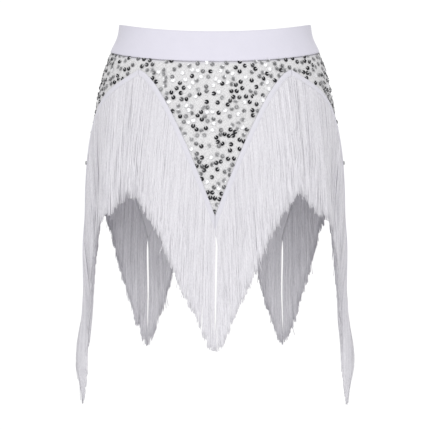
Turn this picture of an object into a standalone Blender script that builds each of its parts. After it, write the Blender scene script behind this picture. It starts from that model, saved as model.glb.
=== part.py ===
"""Belly dance hip skirt: a stretch waistband, a sequinned hip panel with a zigzag hem, and a long fringe.

The skirt keeps the hollow form of a general figure. Its front faces -Y, the wearer's left is +X, and
the origin lies in the middle of the waistband. An angle goes round the figure from the front centre,
0, over the side, 90, to the back centre, 180. Every piece is a sheet of points on that figure, moved
out from it and thickened.
"""

import math
import random
from typing import NamedTuple

import bmesh
import bpy

OBJECT_NAME = "belly_dance_hip_skirt"

SEAM_GAP = 0.0003
BAND_WALL = 0.0022
PANEL_WALL = 0.0015
FRINGE_WALL = 0.0012
TAPE_GAP = 0.0006
FRINGE_OUT = PANEL_WALL + TAPE_GAP

SIDE_SEAM_ANGLE = 98.0
BAND_COLUMNS = 32
BAND_ROWS = 3
PANEL_ROWS = 10

TAPE_WIDTH = 0.008
TAPE_STEEPEST = 3.5
HEM_ABOVE_TAPE_EDGE = 0.001
SLOPE_STEP = 0.25
HEM_STEPS = 400

STRAND_LENGTH = 0.154
STRAND_SHORTER = 0.010
STRAND_LONGER = 0.003
DROP_WEIGHT = 0.35
SLIT_WIDTH = 0.0024
SEED = 7


class Section(NamedTuple):
    """The figure's half width and its depths in front of and behind the origin, at one height."""

    height: float
    half_width: float
    front_depth: float
    back_depth: float


SECTIONS = (
    Section(0.020, 0.1270, 0.088, 0.094),
    Section(0.000, 0.1315, 0.091, 0.098),
    Section(-0.020, 0.1390, 0.096, 0.104),
    Section(-0.050, 0.1500, 0.102, 0.113),
    Section(-0.100, 0.1600, 0.108, 0.124),
    Section(-0.150, 0.1680, 0.112, 0.131),
    Section(-0.200, 0.1720, 0.114, 0.134),
    Section(-0.240, 0.1738, 0.115, 0.134),
    Section(-0.280, 0.1775, 0.115, 0.134),
    Section(-0.350, 0.1790, 0.117, 0.134),
    Section(-0.410, 0.1845, 0.119, 0.136),
    Section(-0.500, 0.1865, 0.121, 0.137),
)


class BandEdge(NamedTuple):
    """An edge of the waistband: its height at the side and how far it dips in front and behind."""

    side_height: float
    front_dip: float
    back_dip: float


BAND_TOP = BandEdge(0.0184, 0.0195, 0.004)
BAND_BOTTOM = BandEdge(-0.0186, 0.0204, 0.004)
BAND_DIP_POWER = 1.5


class HemRun(NamedTuple):
    """One run of the hem, from a peak down to a point, and the fringe that hangs from it.

    The drop is a mix of a straight line and a curve of the given power. Drape says how far the
    strands follow the figure as it widens, from 0, straight down, to 1.
    """

    name: str
    peak_angle: float
    peak_height: float
    point_angle: float
    point_height: float
    straight: float
    power: float
    locks: int
    drape: float


HEM_RUNS = (
    HemRun("front", 40.6, -0.049, 0.0, -0.239, 0.15, 1.95, 22, 1.0),
    HemRun("side_front", 40.6, -0.049, SIDE_SEAM_ANGLE, -0.322, 0.23, 6.0, 28, 0.6),
    HemRun("side_back", 115.0, -0.060, SIDE_SEAM_ANGLE, -0.322, 0.00, 0.8, 16, 1.0),
    HemRun("back_outer", 115.0, -0.060, 147.5, -0.249, 0.60, 1.6, 20, 1.0),
    HemRun("back_inner", 180.0, -0.050, 147.5, -0.249, 0.30, 1.4, 20, 1.0),
)


class Hang(NamedTuple):
    """How strands rooted at an angle swing round the figure by their tips, in degrees, and their extra length."""

    angle: float
    swing: float
    longer: float


HANGS = (
    Hang(0.0, 0.0, 0.004),
    Hang(3.0, 1.0, 0.009),
    Hang(6.0, 1.8, 0.009),
    Hang(10.0, 2.4, 0.008),
    Hang(17.0, 2.4, 0.005),
    Hang(22.0, 2.2, 0.001),
    Hang(34.0, 1.0, 0.000),
    Hang(54.0, 0.0, 0.000),
    Hang(86.0, 0.8, 0.000),
    Hang(98.0, 4.0, 0.000),
    Hang(108.0, 2.5, 0.000),
    Hang(118.0, 0.0, 0.000),
    Hang(147.5, 0.0, 0.002),
    Hang(151.0, 1.4, 0.005),
    Hang(157.0, 1.6, 0.003),
    Hang(180.0, 0.0, 0.000),
)


class Ring(NamedTuple):
    """A level across a lock of fringe: how far down it is and what share of the root's width it keeps."""

    down: float
    width: float


LOCK_RINGS = (Ring(0.04, 0.74), Ring(0.50, 0.70), Ring(1.00, 0.42))


class Finish(NamedTuple):
    """The plain colour and surface of a material."""

    color: tuple
    roughness: float
    metallic: float


FINISHES = {
    "band_jersey": Finish((0.80, 0.79, 0.87, 1.0), 0.75, 0.0),
    "sequin_cloth": Finish((0.62, 0.62, 0.63, 1.0), 0.35, 0.5),
    "fringe_rayon": Finish((0.77, 0.76, 0.80, 1.0), 0.45, 0.0),
}


def sizes_at(height):
    """Half width, front depth and back depth of the figure on a smooth curve through the sections."""
    heights = [row.height for row in SECTIONS]
    place = min(max(height, heights[-1]), heights[0])
    low = next(i for i in range(1, len(SECTIONS)) if heights[i] <= place)
    high = low - 1
    span = heights[high] - heights[low]
    share = (place - heights[low]) / span
    values = []
    for column in (1, 2, 3):
        ends = []
        for i in (low, high):
            above, below = max(i - 1, 0), min(i + 1, len(SECTIONS) - 1)
            rise = SECTIONS[above][column] - SECTIONS[below][column]
            ends.append(rise / (heights[above] - heights[below]) * span)
        start, stop = SECTIONS[low][column], SECTIONS[high][column]
        squared, cubed = share**2, share**3
        values.append(
            (2 * cubed - 3 * squared + 1) * start
            + (cubed - 2 * squared + share) * ends[0]
            + (3 * squared - 2 * cubed) * stop
            + (cubed - squared) * ends[1]
        )
    return values


def radii_at(angle, height):
    """Half width and depth that apply at an angle: the front's depth before the side, then the back's."""
    half_width, front_depth, back_depth = sizes_at(height)
    return half_width, front_depth if math.cos(math.radians(angle)) > 0 else back_depth


def figure_point(angle, height, out, hangs_from=None, drape=1.0):
    """A point on the figure, moved out along its level normal.

    A strand hangs from hangs_from, the height of its root, and follows the figure's widening below
    that by the share drape.
    """
    half_width, depth = radii_at(angle, height)
    if hangs_from is not None:
        root_width, root_depth = radii_at(angle, hangs_from)
        half_width = root_width + drape * (half_width - root_width)
        depth = root_depth + drape * (depth - root_depth)
    sine, cosine = math.sin(math.radians(angle)), math.cos(math.radians(angle))
    across, along = sine / half_width, -cosine / depth
    size = math.hypot(across, along)
    return (
        half_width * sine + out * across / size,
        -depth * cosine + out * along / size,
        height,
    )


def arc_per_degree(angle, height):
    """Length round the figure for one degree."""
    half_width, depth = radii_at(angle, height)
    sine, cosine = math.sin(math.radians(angle)), math.cos(math.radians(angle))
    return math.radians(math.hypot(half_width * cosine, depth * sine))


def band_height(edge, angle):
    """Height of an edge of the waistband."""
    cosine = math.cos(math.radians(angle))
    dip = edge.front_dip if cosine > 0 else edge.back_dip
    return edge.side_height - dip * abs(cosine) ** BAND_DIP_POWER


def run_at(angle):
    """The run of the hem at an angle between 0 and 180."""
    for run in HEM_RUNS:
        low, high = sorted((run.peak_angle, run.point_angle))
        if low <= angle <= high:
            return run
    raise ValueError(f"no run of the hem at {angle} degrees")


def hem_height(run, angle):
    """Height of the upper edge of the heading tape."""
    along = (run.peak_angle - angle) / (run.peak_angle - run.point_angle)
    along = min(max(along, 0.0), 1.0)
    share = run.straight * along + (1 - run.straight) * along**run.power
    return run.peak_height + (run.point_height - run.peak_height) * share


def tape_height(run, angle):
    """Height of the lower edge of the heading tape, which is deeper where the hem is steep."""
    low, high = sorted((run.peak_angle, run.point_angle))
    before, after = max(angle - SLOPE_STEP, low), min(angle + SLOPE_STEP, high)
    height = hem_height(run, angle)
    rise = hem_height(run, after) - hem_height(run, before)
    slope = rise / ((after - before) * arc_per_degree(angle, height))
    return height - TAPE_WIDTH * min(math.hypot(1, slope), TAPE_STEEPEST)


def hang_at(angle):
    """Swing and extra length of the strands rooted at an angle, between the rows of the table."""
    for before, after in zip(HANGS, HANGS[1:]):
        if before.angle <= angle <= after.angle:
            share = (angle - before.angle) / (after.angle - before.angle)
            swing = before.swing + share * (after.swing - before.swing)
            return swing, before.longer + share * (after.longer - before.longer)
    raise ValueError(f"no strand hangs at {angle} degrees")


def run_angles(run, cells):
    """Angles that part a run into cells, closer together where the hem is steep."""
    low, high = sorted((run.peak_angle, run.point_angle))
    angles = [low + (high - low) * i / HEM_STEPS for i in range(HEM_STEPS + 1)]
    lengths = [0.0]
    for before, after in zip(angles, angles[1:]):
        level = hem_height(run, before)
        across = arc_per_degree(before, level) * (after - before)
        drop = DROP_WEIGHT * (hem_height(run, after) - level)
        lengths.append(lengths[-1] + math.hypot(across, drop))
    chosen = []
    at = 0
    for cell in range(cells + 1):
        wanted = lengths[-1] * cell / cells
        while at < HEM_STEPS - 1 and lengths[at + 1] < wanted:
            at += 1
        share = (wanted - lengths[at]) / (lengths[at + 1] - lengths[at])
        chosen.append(angles[at] + share * (angles[at + 1] - angles[at]))
    return chosen


def half_hem_angles(first, last):
    """Angles of a panel's columns from first to last, with one column to every two locks of fringe."""
    angles = set()
    for run in HEM_RUNS:
        low, high = sorted((run.peak_angle, run.point_angle))
        if low >= first and high <= last:
            angles.update(round(angle, 6) for angle in run_angles(run, run.locks // 2))
    return sorted(angles)


def material(name):
    """The plain material of a piece."""
    if name in bpy.data.materials:
        return bpy.data.materials[name]
    finish = FINISHES[name]
    made = bpy.data.materials.new(name)
    made.use_nodes = True
    shader = made.node_tree.nodes["Principled BSDF"]
    shader.inputs["Base Color"].default_value = finish.color
    shader.inputs["Roughness"].default_value = finish.roughness
    shader.inputs["Metallic"].default_value = finish.metallic
    made.diffuse_color = finish.color
    return made


def add_sheet(name, mesh_data, wall, finish, collection):
    """An object for an open sheet, thickened outward by its wall."""
    mesh = bpy.data.meshes.new(name)
    mesh_data.to_mesh(mesh)
    mesh_data.free()
    mesh.shade_smooth()
    mesh.materials.append(material(finish))
    piece = bpy.data.objects.new(name, mesh)
    collection.objects.link(piece)
    solidify = piece.modifiers.new("Wall", "SOLIDIFY")
    solidify.thickness = wall
    solidify.offset = 1.0
    return piece


def grid_sheet(rows):
    """An open sheet through rows of points, the first row on top and each row at rising angles."""
    sheet = bmesh.new()
    verts = [[sheet.verts.new(point) for point in row] for row in rows]
    for upper, lower in zip(verts, verts[1:]):
        for i in range(len(upper) - 1):
            sheet.faces.new((upper[i], lower[i], lower[i + 1], upper[i + 1]))
    return sheet


def seam_angles(angles):
    """The angles with both ends drawn in by half of the seam's gap."""
    trimmed = list(angles)
    for end, inward in ((0, 1), (-1, -1)):
        trim = SEAM_GAP / 2 / arc_per_degree(trimmed[end], 0.0)
        trimmed[end] += inward * trim
    return trimmed


def build_band(name, first, last, collection):
    """One half of the waistband."""
    angles = [first + (last - first) * i / BAND_COLUMNS for i in range(BAND_COLUMNS + 1)]
    angles = seam_angles(angles)
    rows = []
    for row in range(BAND_ROWS + 1):
        share = row / BAND_ROWS
        line = []
        for angle in angles:
            top, bottom = band_height(BAND_TOP, angle), band_height(BAND_BOTTOM, angle)
            line.append(figure_point(angle, top + (bottom - top) * share, 0.0))
        rows.append(line)
    return add_sheet(name, grid_sheet(rows), BAND_WALL, "band_jersey", collection)


def build_panel(name, angles, collection):
    """The front or the back of the hip panel, from the waistband down to the zigzag hem."""
    rows = []
    trimmed = seam_angles(angles)
    for row in range(PANEL_ROWS + 1):
        share = row / PANEL_ROWS
        line = []
        for angle in trimmed:
            turned = abs(angle) if abs(angle) <= 180 else 360 - abs(angle)
            top = band_height(BAND_BOTTOM, angle) - SEAM_GAP
            bottom = tape_height(run_at(turned), turned) + HEM_ABOVE_TAPE_EDGE
            line.append(figure_point(angle, top + (bottom - top) * share, 0.0))
        rows.append(line)
    return add_sheet(name, grid_sheet(rows), PANEL_WALL, "sequin_cloth", collection)


def build_fringe(run, side, number, collection):
    """One length of fringe: its heading tape along a run of the hem, and the locks that hang from it.

    Side is 1 on the wearer's left and -1 on the right. Each lock starts as wide as its part of the
    tape, so that neighbours are fused at the root alone.
    """
    lengths = random.Random(SEED * 100 + number)
    angles = seam_angles(run_angles(run, run.locks))
    point_lock = 0 if run.point_angle < run.peak_angle else run.locks - 1
    sheet = bmesh.new()
    upper, lower = [], []
    for angle in angles:
        top, bottom = hem_height(run, angle), tape_height(run, angle)
        upper.append(sheet.verts.new(figure_point(side * angle, top, FRINGE_OUT)))
        lower.append(sheet.verts.new(figure_point(side * angle, bottom, FRINGE_OUT)))
    for i in range(run.locks):
        sheet.faces.new((upper[i], lower[i], lower[i + 1], upper[i + 1]))
        roots = [tape_height(run, angles[i]), tape_height(run, angles[i + 1])]
        middle = (angles[i] + angles[i + 1]) / 2
        longer = hang_at(middle)[1] + lengths.uniform(-STRAND_SHORTER, STRAND_LONGER)
        tip = sum(roots) / 2 - STRAND_LENGTH - longer
        half = (angles[i + 1] - angles[i]) / 2
        slit = SLIT_WIDTH / 2 / arc_per_degree(middle, roots[0]) if i == point_lock else 0.0
        past = [lower[i], lower[i + 1]]
        for ring in LOCK_RINGS:
            line = []
            for end, root in zip((-1, 1), roots):
                angle = middle + end * half * ring.width
                if slit and abs(angle - run.point_angle) < slit:
                    angle = run.point_angle + math.copysign(slit, middle - run.point_angle)
                height = root + (tip - root) * ring.down
                swung = angle + hang_at(angle)[0] * ring.down
                place = figure_point(side * swung, height, FRINGE_OUT, root, run.drape)
                line.append(sheet.verts.new(place))
            sheet.faces.new((past[0], line[0], line[1], past[1]))
            past = line
    if side < 0:
        bmesh.ops.reverse_faces(sheet, faces=sheet.faces)
    name = f"fringe_{run.name}_{'left' if side > 0 else 'right'}"
    return add_sheet(name, sheet, FRINGE_WALL, "fringe_rayon", collection)


def main():
    """Build every piece of the skirt."""
    for old in list(bpy.data.objects):
        bpy.data.objects.remove(old, do_unlink=True)
    collection = bpy.data.collections.new(OBJECT_NAME)
    bpy.context.scene.collection.children.link(collection)

    seam = SIDE_SEAM_ANGLE
    build_band("waistband_front", -seam, seam, collection)
    build_band("waistband_back", seam, 360 - seam, collection)

    front = half_hem_angles(0.0, seam)
    back = half_hem_angles(seam, 180.0)
    build_panel("hip_panel_front", sorted({side * angle for angle in front for side in (-1, 1)}), collection)
    build_panel("hip_panel_back", sorted(set(back) | {360 - angle for angle in back}), collection)

    for number, run in enumerate(HEM_RUNS):
        for side in (1, -1):
            build_fringe(run, side, 2 * number + (side < 0), collection)


main()
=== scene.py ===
"""Belly dance hip skirt: its jersey waistband, sequinned hip cloth and rayon fringe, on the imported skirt.

The skirt keeps the form of the figure that wore it. Its front faces -Y and the wearer's left is +X. An
angle goes round the figure from the front centre, 0, over the left side, 90, to the back centre, 180.
All lengths are in metres and all angles in degrees.
"""

import logging
import math
from dataclasses import dataclass
from enum import Enum
from typing import NamedTuple, Optional, Union

import bpy
import numpy as np
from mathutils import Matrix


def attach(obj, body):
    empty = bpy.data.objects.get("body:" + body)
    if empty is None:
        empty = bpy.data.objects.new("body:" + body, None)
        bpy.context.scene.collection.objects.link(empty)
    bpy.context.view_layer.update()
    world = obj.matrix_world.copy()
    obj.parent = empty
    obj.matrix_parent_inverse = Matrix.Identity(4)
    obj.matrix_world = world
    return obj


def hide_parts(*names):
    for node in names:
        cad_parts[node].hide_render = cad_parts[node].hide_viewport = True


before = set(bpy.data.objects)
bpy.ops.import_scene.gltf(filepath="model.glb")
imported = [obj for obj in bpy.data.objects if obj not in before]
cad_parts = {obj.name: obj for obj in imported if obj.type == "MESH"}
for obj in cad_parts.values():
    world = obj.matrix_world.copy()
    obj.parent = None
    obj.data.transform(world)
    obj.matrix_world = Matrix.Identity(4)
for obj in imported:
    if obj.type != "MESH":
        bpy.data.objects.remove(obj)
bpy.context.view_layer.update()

BODY = "root"
CLOTH_UV = "cloth"
TONE = "tone"
PHOTO_PIXELS = 430

FRINGE_OUT = 0.0021
FRINGE_WALL = 0.0012
SEAM_GAP = 0.0003
SIDE_SEAM_ANGLE = 98.0
TAPE_WIDTH = 0.008
TAPE_STEEPEST = 3.5
STRAND_LENGTH = 0.154
SLOPE_STEP = 0.25
ANGLE_SLACK = 1e-9
ANGLE_DIGITS = 5

Color = tuple[float, float, float]


class Side(Enum):
    """A side of the wearer, by the sign of X."""

    LEFT = 1
    RIGHT = -1


class Half(Enum):
    """The front or the back half of the skirt, by its first and last angle."""

    FRONT = (-SIDE_SEAM_ANGLE, SIDE_SEAM_ANGLE)
    BACK = (SIDE_SEAM_ANGLE, 360.0 - SIDE_SEAM_ANGLE)


class Slot(Enum):
    """The material slots of the skirt."""

    BAND = "band_jersey"
    CLOTH = "sequin_cloth"
    FRINGE = "fringe_rayon"


class Section(NamedTuple):
    """The figure's half width and its depths in front of and behind the origin, at one height."""

    height: float
    half_width: float
    front_depth: float
    back_depth: float


SECTIONS = (
    Section(0.020, 0.1270, 0.088, 0.094),
    Section(0.000, 0.1315, 0.091, 0.098),
    Section(-0.020, 0.1390, 0.096, 0.104),
    Section(-0.050, 0.1500, 0.102, 0.113),
    Section(-0.100, 0.1600, 0.108, 0.124),
    Section(-0.150, 0.1680, 0.112, 0.131),
    Section(-0.200, 0.1720, 0.114, 0.134),
    Section(-0.240, 0.1738, 0.115, 0.134),
    Section(-0.280, 0.1775, 0.115, 0.134),
    Section(-0.350, 0.1790, 0.117, 0.134),
    Section(-0.410, 0.1845, 0.119, 0.136),
    Section(-0.500, 0.1865, 0.121, 0.137),
)


class Hang(NamedTuple):
    """How far strands rooted at an angle swing round the figure by their tips, and their extra length."""

    angle: float
    swing: float
    longer: float


HANGS = (
    Hang(0.0, 0.0, 0.006),
    Hang(3.0, 1.0, 0.010),
    Hang(6.0, 1.8, 0.009),
    Hang(10.0, 2.4, 0.008),
    Hang(17.0, 2.4, 0.005),
    Hang(22.0, 2.2, 0.001),
    Hang(34.0, 1.0, 0.001),
    Hang(42.0, 0.6, 0.006),
    Hang(48.0, 0.3, 0.011),
    Hang(54.0, 0.0, 0.013),
    Hang(61.0, 0.0, 0.014),
    Hang(70.0, 0.3, 0.012),
    Hang(78.0, 0.5, 0.006),
    Hang(86.0, 0.8, 0.000),
    Hang(98.0, 4.0, 0.000),
    Hang(108.0, 2.5, 0.000),
    Hang(118.0, 0.4, -0.004),
    Hang(124.0, 0.6, -0.008),
    Hang(128.0, 0.7, -0.003),
    Hang(132.0, 0.8, 0.006),
    Hang(137.0, 1.0, 0.010),
    Hang(140.0, 1.1, 0.014),
    Hang(143.5, 1.2, 0.012),
    Hang(147.5, 1.4, 0.008),
    Hang(151.0, 1.6, 0.007),
    Hang(155.0, 1.5, 0.004),
    Hang(158.0, 0.9, -0.005),
    Hang(162.0, 0.2, -0.009),
    Hang(170.0, 0.0, -0.004),
    Hang(180.0, 0.0, 0.000),
)


class Bunch(NamedTuple):
    """How far in from the figure's width strands rooted at an angle hang by their tips."""

    angle: float
    depth: float


BUNCHES = (
    Bunch(60.0, 0.0000),
    Bunch(66.0, 0.0035),
    Bunch(70.0, 0.0080),
    Bunch(74.0, 0.0110),
    Bunch(80.0, 0.0125),
    Bunch(86.0, 0.0115),
    Bunch(90.0, 0.0112),
    Bunch(93.0, 0.0125),
    Bunch(95.3, 0.0138),
    Bunch(96.3, 0.0110),
    Bunch(97.2, 0.0090),
    Bunch(98.0, 0.0045),
    Bunch(101.0, 0.0000),
)


@dataclass(frozen=True)
class Figure:
    """The form that the skirt keeps: half an ellipse in front and half behind, at every height."""

    sections: tuple[Section, ...] = SECTIONS

    def sizes(self, height: np.ndarray) -> np.ndarray:
        """Half width, front depth and back depth on a smooth curve through the sections.

        Args:
            height: Heights of any shape.

        Returns:
            An array with the three sizes in its last axis.
        """
        table = np.array(self.sections)[::-1]
        levels, values = table[:, 0], table[:, 1:]
        last = len(levels) - 1
        rows = np.arange(last + 1)
        above, below = np.minimum(rows + 1, last), np.maximum(rows - 1, 0)
        slopes = (values[above] - values[below]) / (levels[above] - levels[below])[:, None]
        place = np.clip(np.asarray(height, dtype=float), levels[0], levels[-1])
        low = np.clip(np.searchsorted(levels, place, side="right") - 1, 0, last - 1)
        span = (levels[low + 1] - levels[low])[..., None]
        share = (place - levels[low])[..., None] / span
        squared, cubed = share**2, share**3
        return (
            (2 * cubed - 3 * squared + 1) * values[low]
            + (cubed - 2 * squared + share) * slopes[low] * span
            + (3 * squared - 2 * cubed) * values[low + 1]
            + (cubed - squared) * slopes[low + 1] * span
        )

    def radii(self, angle: np.ndarray, height: np.ndarray) -> tuple[np.ndarray, np.ndarray]:
        """Half width and depth that apply at each angle.

        Args:
            angle: Angles round the figure.
            height: Heights that match the angles.

        Returns:
            The half widths and the depths.
        """
        sizes = self.sizes(height)
        in_front = np.cos(np.radians(angle)) > 0
        return sizes[..., 0], np.where(in_front, sizes[..., 1], sizes[..., 2])

    def point(
        self,
        angle: np.ndarray,
        height: np.ndarray,
        out: np.ndarray,
        root: Optional[np.ndarray] = None,
        drape: float = 1.0,
    ) -> np.ndarray:
        """Points on the figure, moved out along its level normal.

        Args:
            angle: Angles round the figure.
            height: Heights of the points.
            out: How far each point stands out from the figure.
            root: Heights that strands hang from, or None for cloth that lies on the figure.
            drape: The share of the figure's widening below the root that a strand follows.

        Returns:
            An array of points with x, y and z in its last axis.
        """
        half_width, depth = self.radii(angle, height)
        if root is not None:
            root_width, root_depth = self.radii(angle, root)
            half_width = root_width + drape * (half_width - root_width)
            depth = root_depth + drape * (depth - root_depth)
        sine, cosine = np.sin(np.radians(angle)), np.cos(np.radians(angle))
        across, along = sine / half_width, -cosine / depth
        size = np.hypot(across, along)
        x = half_width * sine + out * across / size
        y = -depth * cosine + out * along / size
        return np.stack(np.broadcast_arrays(x, y, height), axis=-1)

    def arc(self, angle: np.ndarray, height: np.ndarray) -> np.ndarray:
        """Length round the figure for one degree.

        Args:
            angle: Angles round the figure.
            height: Heights that match the angles.

        Returns:
            The length of one degree at each place.
        """
        half_width, depth = self.radii(angle, height)
        turn = np.radians(angle)
        return np.radians(np.hypot(half_width * np.cos(turn), depth * np.sin(turn)))


FIGURE = Figure()


def distances(steps: np.ndarray) -> np.ndarray:
    """How far along a row each of its points is, from the steps between them."""
    return np.concatenate([[0.0], np.cumsum(steps)])


@dataclass(frozen=True)
class HemRun:
    """One run of the zigzag hem, from a peak down to a point, with the fringe that hangs from it."""

    name: str
    peak_angle: float
    peak_height: float
    point_angle: float
    point_height: float
    straight: float
    power: float
    drape: float
    drift: float
    lowest: float
    half: Half

    def height(self, angle: np.ndarray) -> np.ndarray:
        """Height of the heading tape's upper edge.

        Args:
            angle: Angles on this run.

        Returns:
            The heights.
        """
        along = (self.peak_angle - angle) / (self.peak_angle - self.point_angle)
        along = np.clip(along, 0.0, 1.0)
        share = self.straight * along + (1 - self.straight) * along**self.power
        return self.peak_height + (self.point_height - self.peak_height) * share

    def tape_depth(self, angle: np.ndarray) -> np.ndarray:
        """How deep the tape is at an angle, measured straight down, which is more where the hem is steep.

        Args:
            angle: Angles on this run.

        Returns:
            The depths.
        """
        low, high = sorted((self.peak_angle, self.point_angle))
        before = np.maximum(angle - SLOPE_STEP, low)
        after = np.minimum(angle + SLOPE_STEP, high)
        climb = self.height(after) - self.height(before)
        slope = climb / ((after - before) * FIGURE.arc(angle, self.height(angle)))
        return TAPE_WIDTH * np.minimum(np.hypot(1, slope), TAPE_STEEPEST)

    def tape_foot(self, angle: np.ndarray) -> np.ndarray:
        """Height of the tape's lower edge at each angle."""
        return self.height(angle) - self.tape_depth(angle)

    def spread(self, count: int, steps: int = 800) -> tuple[np.ndarray, np.ndarray]:
        """Angles at even distances along the tape, both ends included.

        Args:
            count: How many angles.
            steps: How finely the tape is measured.

        Returns:
            The angles and how far along the tape each one lies.
        """
        low, high = sorted((self.peak_angle, self.point_angle))
        angles = np.linspace(low, high, steps + 1)
        heights = self.height(angles)
        across = FIGURE.arc(angles[:-1], heights[:-1]) * np.diff(angles)
        length = distances(np.hypot(across, np.diff(heights)))
        wanted = np.linspace(0.0, length[-1], count)
        return np.interp(wanted, length, angles), wanted


RUNS = (
    HemRun("front", 40.6, -0.049, 0.0, -0.239, 0.15, 1.95, 1.0, 0.0, -0.4115, Half.FRONT),
    HemRun("side_front", 40.6, -0.049, SIDE_SEAM_ANGLE, -0.322, 0.23, 6.0, 0.6, 0.0, -0.4975, Half.FRONT),
    HemRun("side_back", 115.0, -0.060, SIDE_SEAM_ANGLE, -0.322, 0.00, 0.8, 1.0, 0.0, -0.4975, Half.BACK),
    HemRun("back_outer", 115.0, -0.060, 147.5, -0.249, 0.60, 1.6, 1.0, 1.3, -0.4255, Half.BACK),
    HemRun("back_inner", 180.0, -0.050, 147.5, -0.249, 0.30, 1.4, 1.0, 1.3, -0.4255, Half.BACK),
)


def turned(angle: np.ndarray) -> np.ndarray:
    """The same place as an angle between 0 and 180 on the mirrored side."""
    return np.abs((np.asarray(angle, dtype=float) + 180.0) % 360.0 - 180.0)


def rise(value: np.ndarray, start: float, stop: float) -> np.ndarray:
    """An even slope from 0 at start to 1 at stop, level beyond both. The stop may be under the start."""
    return np.clip((value - start) / (stop - start), 0.0, 1.0)


def bell(value: np.ndarray, width: float) -> np.ndarray:
    """A bell curve that is 1 where the value is 0, and about a third where it is one width."""
    return np.exp(-((value / width) ** 2))


def plateau(value: np.ndarray, corners: tuple[float, float, float, float]) -> np.ndarray:
    """A level 1 between the two middle corners, with even slopes down to 0 at the outer ones."""
    start, full, fading, stop = corners
    return rise(value, start, full) * rise(value, stop, fading)


def unit(vectors: np.ndarray) -> np.ndarray:
    """Vectors brought to a length of 1."""
    return vectors / np.linalg.norm(vectors, axis=-1, keepdims=True)


def pairs(first: np.ndarray, second: np.ndarray) -> np.ndarray:
    """Two arrays that fit each other, as rows of pairs."""
    return np.stack(np.broadcast_arrays(first, second), axis=-1).reshape(-1, 2)


def read_table(table: tuple[NamedTuple, ...], column: str, angle: np.ndarray) -> np.ndarray:
    """One column of a table by angle, read between its rows."""
    return np.interp(angle, [row.angle for row in table], [getattr(row, column) for row in table])


def hem_foot(angle: np.ndarray, upper: bool = False) -> np.ndarray:
    """Height of the heading tape's edge all round the skirt.

    Args:
        angle: Angles round the figure.
        upper: True for the upper edge, False for the lower.

    Returns:
        The heights.
    """
    place = turned(angle)
    height = np.full(place.shape, -1.0)
    for run in RUNS:
        low, high = sorted((run.peak_angle, run.point_angle))
        inside = (place >= low - ANGLE_SLACK) & (place <= high + ANGLE_SLACK)
        height[inside] = run.height(place[inside]) if upper else run.tape_foot(place[inside])
    return height


@dataclass(frozen=True)
class BandEdge:
    """An edge of the waistband: its height at the side and how far it dips in front and behind."""

    side_height: float
    front_dip: float
    back_dip: float
    power: float = 1.5

    def height(self, angle: np.ndarray) -> np.ndarray:
        """Height of the edge.

        Args:
            angle: Angles round the figure.

        Returns:
            The heights.
        """
        cosine = np.cos(np.radians(angle))
        dip = np.where(cosine > 0, self.front_dip, self.back_dip)
        return self.side_height - dip * np.abs(cosine) ** self.power


BAND_TOP = BandEdge(0.0184, 0.0195, 0.004)
BAND_BOTTOM = BandEdge(-0.0186, 0.0223, 0.004, 1.35)


class Wire:
    """A socket of a material. Arithmetic on it adds Math nodes."""

    def __init__(self, dye: "Dye", socket: bpy.types.NodeSocket) -> None:
        """Keeps the material's builder and the socket."""
        self.dye = dye
        self.socket = socket

    def math(self, operation: str, *operands: Union["Wire", float]) -> "Wire":
        """A Math node on this and other values.

        Args:
            operation: The Math node's operation.
            operands: Its inputs in order, this socket among them.

        Returns:
            The result.
        """
        values = dict(enumerate(operands))
        return self.dye.wire(self.dye.node("ShaderNodeMath", {"operation": operation}, values))

    def __add__(self, other: Union["Wire", float]) -> "Wire":
        """This plus other."""
        return self.math("ADD", self, other)

    def __radd__(self, other: float) -> "Wire":
        """Other plus this."""
        return self.math("ADD", other, self)

    def __sub__(self, other: Union["Wire", float]) -> "Wire":
        """This minus other."""
        return self.math("SUBTRACT", self, other)

    def __rsub__(self, other: float) -> "Wire":
        """Other minus this."""
        return self.math("SUBTRACT", other, self)

    def __mul__(self, other: Union["Wire", float]) -> "Wire":
        """This times other."""
        return self.math("MULTIPLY", self, other)

    def __rmul__(self, other: float) -> "Wire":
        """Other times this."""
        return self.math("MULTIPLY", other, self)

    def __truediv__(self, other: Union["Wire", float]) -> "Wire":
        """This divided by other."""
        return self.math("DIVIDE", self, other)

    def __abs__(self) -> "Wire":
        """This without its sign."""
        return self.math("ABSOLUTE", self)

    def sine(self) -> "Wire":
        """The sine of this, in radians."""
        return self.math("SINE", self)

    def pingpong(self, scale: float) -> "Wire":
        """This as a triangle wave that runs from 0 to scale and back."""
        return self.math("PINGPONG", self, scale)

    def ridges(self) -> "Wire":
        """This as a triangle wave that runs from 0 to 1 and back once for each whole number."""
        return self.pingpong(0.5) * 2.0

    def fall(self, start: float, stop: float) -> "Wire":
        """A soft step that is 1 where this is under start and 0 where it is over stop.

        Args:
            start: Where the step begins.
            stop: Where it ends.

        Returns:
            The step.
        """
        values = {"Value": self, "From Min": start, "From Max": stop, "To Min": 1.0, "To Max": 0.0}
        step = self.dye.node("ShaderNodeMapRange", {"interpolation_type": "SMOOTHSTEP"}, values)
        return self.dye.wire(step)


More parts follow.
